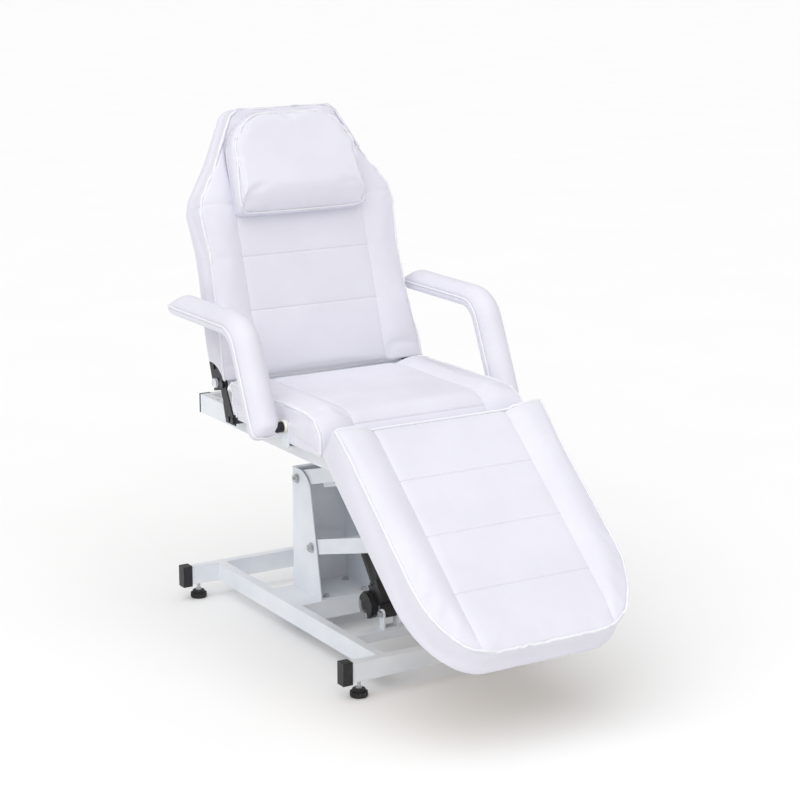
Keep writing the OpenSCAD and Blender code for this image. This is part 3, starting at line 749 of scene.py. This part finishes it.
def make_back():
    cross_at = (0.171, 0.314)
    end = 0.715
    rows = list(spaced(-0.001, 0.660, 0.009, lines_about(cross_at)))
    rows += [0.668, 0.676, 0.684, 0.691, 0.698, 0.704, 0.709, 0.7125, end]

    def height(x, s, wide):
        fade = min(1.0, max(0.0, (0.62 - s) / 0.12))
        return 0.009 * bolster_share(x, wide) * (fade if wide > SEAM_X + 0.02 else 0.0)

    obj = grid_pad("back_pad", BACK, lambda s: half_width(BACK_HALF, s), rows, height, BACK_DEPTH)
    local = BACK.local(coords(obj.data))
    x, s, depth = np.abs(local[:, 0]), local[:, 1], -local[:, 2]
    # The hinge fills a round scoop at each lower rear corner: the pad is pushed out of its way.
    scoop = 0.0815
    gap = np.stack([depth - 0.076, s + 0.022], axis=1)
    away = np.linalg.norm(gap, axis=1)
    share = np.clip((x - 0.240) / 0.012, 0, 1)
    push = np.where(away < scoop, (scoop / np.maximum(away, 1e-6) - 1), 0)[:, None] * gap * share[:, None]
    local[:, 2] -= push[:, 0]
    local[:, 1] += push[:, 1]
    put(obj.data, BACK.world(local))
    held = ((local[:, 2] < -0.050) | ((away < 0.10) & (x > 0.2))).astype(float)
    inflate(obj, held, 0.004, shrink=0.002)
    subdivide(obj)
    # The board lies in a pocket in the back of the pad.
    local = BACK.local(coords(obj.data))
    board = np.interp(local[:, 1], (0.014, 0.440, 0.560, 0.660, 0.695), (0.276, 0.276, 0.214, 0.160, 0.110))
    inside = (np.abs(local[:, 0]) < board) & (local[:, 1] > 0.014) & (local[:, 1] < 0.695) & (local[:, 2] < -0.055)
    local[inside, 2] = -0.0555
    put(obj.data, BACK.world(local))
    edge = [(x, s, 0.005 if s < 0.56 else 0.001) for x, s in BACK_HALF]
    loop = edge + [(-x, s, n) for x, s, n in reversed(edge)]
    seam = [(SEAM_X, 0.0, 0.0), (SEAM_X, 0.640, 0.0)]
    cross = [[(-SEAM_X, s, 0.0), (SEAM_X, s, 0.0)] for s in cross_at]
    shoulder = two_sides([
        (0.192, 0.455, 0.002), (0.292, 0.459, 0.006), (0.300, 0.460, -0.02), (0.300, 0.460, -0.058)])
    finish_pad(obj, "back", "back", "back_cushion",
               [(BACK.world(loop), False)],
               [BACK.world(p) for p in two_sides(seam)],
               [BACK.world(p) for p in cross] + [BACK.world(p) for p in shoulder])
    return obj


def make_leg():
    cross_at = (0.163, 0.323, 0.483)
    rows = list(spaced(-0.005, 0.580, 0.009, lines_about(cross_at)))
    rows += [0.589, 0.598, 0.607, 0.616, 0.624, 0.631, 0.638, 0.643, 0.6475, 0.6505, 0.653]

    def height(x, s, wide):
        fade = 1.0 - 0.9 * min(max((s - 0.44) / 0.20, 0.0), 1.0) ** 1.5
        return 0.016 * bolster_share(x, wide) * fade

    obj = grid_pad("leg_pad", LEG, lambda s: half_width(LEG_HALF, s), rows, height, LEG_DEPTH)
    # The rear wall leans away from the seat, so the leg rest can rise level with it.
    local = LEG.local(coords(obj.data))
    lower = np.clip((-local[:, 2] - 0.004) / 0.030, 0, 1)
    local[:, 1] += 0.009 * lower * np.clip((0.030 - local[:, 1]) / 0.030, 0, 1)
    put(obj.data, LEG.world(local))
    held = ((local[:, 2] < -0.070) | ((local[:, 1] < 0.022) & (local[:, 2] < -0.008))).astype(float)
    inflate(obj, held, 0.004, shrink=0.002)
    subdivide(obj)
    edge = [(x, s, height(x, s, x)) for x, s in LEG_HALF]
    loop = edge + [(-x, s, n) for x, s, n in reversed(edge)]
    seam = [(SEAM_X, -0.003, 0.0), (SEAM_X, 0.560, 0.0), (SEAM_X - 0.004, 0.628, 0.0)]
    cross = [[(-SEAM_X, s, 0.0), (SEAM_X, s, 0.0)] for s in cross_at]
    finish_pad(obj, "leg", "leg", "leg_cushion",
               [(LEG.world(loop), True)],
               [LEG.world(p) for p in two_sides(seam)],
               [LEG.world(p) for p in cross])
    return obj


PILLOW_HALF = [(0.172, 0.418), (0.180, 0.421), (0.184, 0.428), (0.184, 0.570)] + [
    (0.056 + 0.128 * math.cos(t), 0.570 + 0.121 * math.sin(t)) for t in np.linspace(0.1, math.pi / 2, 14)]
# The pillow's height over the back, as (s, n): a bevel up to the crease, then a long slope down.
PILLOW_DEPTH = [(0.418, 0.040), (0.424, 0.048), (0.434, 0.058), (0.454, 0.072), (0.466, 0.077), (0.691, 0.040)]


def make_pillow():
    rows = [0.418, 0.420, 0.424, 0.428] + list(spaced(0.434, 0.640, 0.008, [0.460, 0.464, 0.468]))
    rows += [0.648, 0.656, 0.663, 0.670, 0.676, 0.681, 0.685, 0.688, 0.690, 0.691]
    depth_at = lambda s: float(np.interp(s, [d[0] for d in PILLOW_DEPTH], [d[1] for d in PILLOW_DEPTH]))

    def height(x, s, wide):
        edge = max(0.0, 1.0 - (x / wide) ** 4) if wide > 0 else 1.0
        return depth_at(s) - 0.004 + 0.004 * edge

    obj = grid_pad("head_pillow", PILLOW, lambda s: half_width(PILLOW_HALF, s), rows, height, -0.0015, bulge=0.003)
    held = (BACK.local(coords(obj.data))[:, 2] < 0.006).astype(float)
    inflate(obj, held, 0.004, shrink=0.002, pressure=3.0)
    subdivide(obj)
    edge = [(x, s, depth_at(s) - 0.004) for x, s in PILLOW_HALF]
    loop = edge + [(-x, s, n) for x, s, n in reversed(edge)]
    finish_pad(obj, "pillow", "pillow", "pillow", [(PILLOW.world(loop), True)], [], [], welt=0.0030)
    return obj


# ------------------------------------------------------------------ armrests

ARM_X = 0.355  # the middle of the right armrest
ARM_HALF = 0.0415  # half its width
ARM_CROWN = 0.032  # height of the crown over the piping
ARM_UNDER = 0.0215  # depth of the boxing under the piping


def arm_path(travel):
    """Point (y, z) and outward direction of the armrest's piping line at a distance from its rear end."""
    rear, bend, radius, turn = 0.255, (-0.061, 0.802), 0.078, math.radians(65.2)
    straight = rear - bend[0]
    curve = radius * turn
    if travel <= straight:
        return np.array([rear - travel, bend[1] + radius]), np.array([0.0, 1.0])
    if travel <= straight + curve:
        a = math.pi / 2 + (travel - straight) / radius
        out = np.array([math.cos(a), math.sin(a)])
        return np.array(bend) + radius * out, out
    a = math.pi / 2 + turn
    out = np.array([math.cos(a), math.sin(a)])
    ahead = np.array([-math.cos(turn), -math.sin(turn)])
    return np.array(bend) + radius * out + ahead * (travel - straight - curve), out


ARM_LENGTH = 0.316 + 0.078 * math.radians(65.2) + 0.232


def arm_section(half, rise, sink):
    """Closed cross-section (across, outward): crown, two walls and a flat underside."""
    crown, under = ARM_CROWN * rise, ARM_UNDER * sink
    top = []
    for k in range(21):
        x = -1 + 2 * k / 20
        top.append((x * half, crown * (1 - abs(x) ** 2.2) ** 0.9))
    right = [(half, -under * 0.3), (half, -under * 0.72), (half * 0.95, -under)]
    floor = [(half * x, -under) for x in (0.6, 0.2, -0.2, -0.6)]
    left = [(-half * 0.95, -under), (-half, -under * 0.72), (-half, -under * 0.3)]
    return top + right + floor + left


def arm_end(travel):
    """Half width, crown share and underside share at a distance from the rear end. Both ends are squared with
    small corners; the rear one tapers to its piping, the lower one keeps its thickness."""
    corner = 0.019
    edge = min(travel, ARM_LENGTH - travel)
    into = max(corner - edge, 0.0)
    half = ARM_HALF - corner + math.sqrt(max(corner ** 2 - into ** 2, 0.0))
    reach = 0.060 if travel < ARM_LENGTH / 2 else 0.030
    rise = math.sin(min(edge / reach, 1.0) * math.pi / 2) ** 0.8
    sink = math.sin(min(travel / 0.050, 1.0) * math.pi / 2) ** 0.8
    return half, max(rise, 0.04), max(sink, 0.06)


def arm_point(sign, travel, across, out):
    at, direction = arm_path(travel)
    y, z = at + direction * out
    return (sign * (ARM_X + across), y + MID, z)


def make_armrest(side, sign):
    end = 0.044
    closer = np.linspace(0, 1, 12)
    stations = list(closer ** 1.6 * end) + list(np.linspace(end, ARM_LENGTH - end, 60))[1:]
    stations += list(ARM_LENGTH - closer[::-1] ** 1.6 * end)[1:]
    points, rings = [], []
    for travel in stations:
        ring = []
        for across, out in arm_section(*arm_end(travel)):
            ring.append(len(points))
            points.append(arm_point(sign, travel, across, out))
        rings.append(ring)
    faces = []
    for one, two in zip(rings, rings[1:]):
        for j in range(len(one)):
            k = (j + 1) % len(one)
            faces.append((one[j], one[k], two[k], two[j]) if sign > 0 else (one[k], one[j], two[j], two[k]))
    faces.append(tuple(reversed(rings[0])) if sign > 0 else tuple(rings[0]))
    faces.append(tuple(rings[-1]) if sign > 0 else tuple(reversed(rings[-1])))
    mesh = bpy.data.meshes.new(f"armrest_cover_{side}")
    mesh.from_pydata(points, [], faces)
    mesh.update()
    obj = link(f"armrest_cover_{side}", mesh, VINYL)
    remesh(obj, 0.0034)
    relax(obj, 2, 0.4)
    travelled = [arm_point(sign, t, 0, -ARM_UNDER) for t in np.linspace(0.02, ARM_LENGTH - 0.02, 80)]
    away, _ = near_field(coords(obj.data), np.array(travelled))
    held = (away < 0.030).astype(float)
    inflate(obj, held, 0.003, shrink=0.0015, pressure=3.0)
    subdivide(obj)
    loop = []
    for travel in stations:
        loop.append((travel, arm_end(travel)[0]))
    path = [arm_point(sign, t, w, 0.0) for t, w in loop]
    path += [arm_point(sign, t, -w, 0.0) for t, w in reversed(loop)]
    finish_pad(obj, f"armrest_{side}", f"armrest_{side}", f"armrest_pad_{side}",
               [(np.array(path), True)], [], [], welt=0.0028)
    return obj


make_seat()
make_back()
make_leg()
make_pillow()
make_armrest("left", -1)
make_armrest("right", 1)

# ------------------------------------------------------------------ actuator trim
# A ribbed grey band and a thin grey line on the motor's outer end.

DRUM_AT = (-0.220 + MID, 0.142)  # y and z of the motor's axis


def arc_band(name, x, inner, outer, start, end, thick, material, ribs=0):
    """A flat curved band facing -X about the motor's axis, with radial ribs if asked for."""
    steps = 60
    points, faces = [], []
    for k in range(steps + 1):
        a = math.radians(start + (end - start) * k / steps)
        raised = thick + (0.0007 if ribs and (k * ribs // steps) % 2 else 0.0)
        for radius, out in ((inner, 0.0), (inner + 0.0008, raised), (outer - 0.0008, raised), (outer, 0.0)):
            points.append((x - out, DRUM_AT[0] + radius * math.cos(a), DRUM_AT[1] + radius * math.sin(a)))
    for k in range(steps):
        for j in range(3):
            faces.append((4 * k + j, 4 * k + j + 1, 4 * k + j + 5, 4 * k + j + 4))
        faces.append((4 * k + 3, 4 * k, 4 * k + 4, 4 * k + 7))
    faces += [(0, 1, 2, 3), tuple(4 * steps + j for j in (3, 2, 1, 0))]
    mesh = bpy.data.meshes.new(name)
    mesh.from_pydata(points, [], faces)
    outward(mesh)
    obj = link(name, mesh, material)
    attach(obj, "actuator")
    return obj


low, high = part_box("actuator_motor")
arc_band("motor_band", low[0] + 0.0002, 0.0200, 0.0315, -112, 20, 0.0016, FINISHES["grey_band"], 46)
arc_band("motor_seam", low[0] + 0.0002, 0.0150, 0.0160, -130, 60, 0.0012, FINISHES["grey_band"])

# ------------------------------------------------------------------ rail ends
# Each black end plug folds 7 mm over its tube, as a thin sleeve.

low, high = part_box("rail_caps")
for side, sign in (("left", -1), ("right", 1)):
    long, width, tall = 0.007, 0.0304, high[2] - low[2] + 0.0012
    sleeve = bmesh.new()
    bmesh.ops.create_cube(sleeve, size=1.0)
    centre = (sign * (max(abs(low[0]), abs(high[0])) - 0.015), high[1] - 0.0034, (low[2] + high[2]) / 2)
    for vertex in sleeve.verts:
        vertex.co = [centre[k] + vertex.co[k] * (width, long, tall)[k] for k in range(3)]
    mesh = bpy.data.meshes.new(f"rail_sleeve_{side}")
    sleeve.to_mesh(mesh)
    sleeve.free()
    piece = link(f"rail_sleeve_{side}", mesh, FINISHES["black_plastic"])
    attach(piece, "seat")

# ------------------------------------------------------------------ floor


def make_floor():
    mesh = bpy.data.meshes.new("floor")
    reach, level = 30, -0.0005
    corners = [(-reach, -reach, level), (reach, -reach, level), (reach, reach, level), (-reach, reach, level)]
    mesh.from_pydata(corners, [], [(0, 1, 2, 3)])
    mat, tree, shader = new_material("studio_floor", (0.95, 0.95, 0.95), 0.7, specular=0.1)
    tint = ramp(tree, noise_at(tree, 2.0), (0.945, 0.945, 0.945), (0.955, 0.955, 0.955))
    tree.links.new(tint, shader.inputs["Base Color"])
    obj = link("floor", mesh, mat)


make_floor()
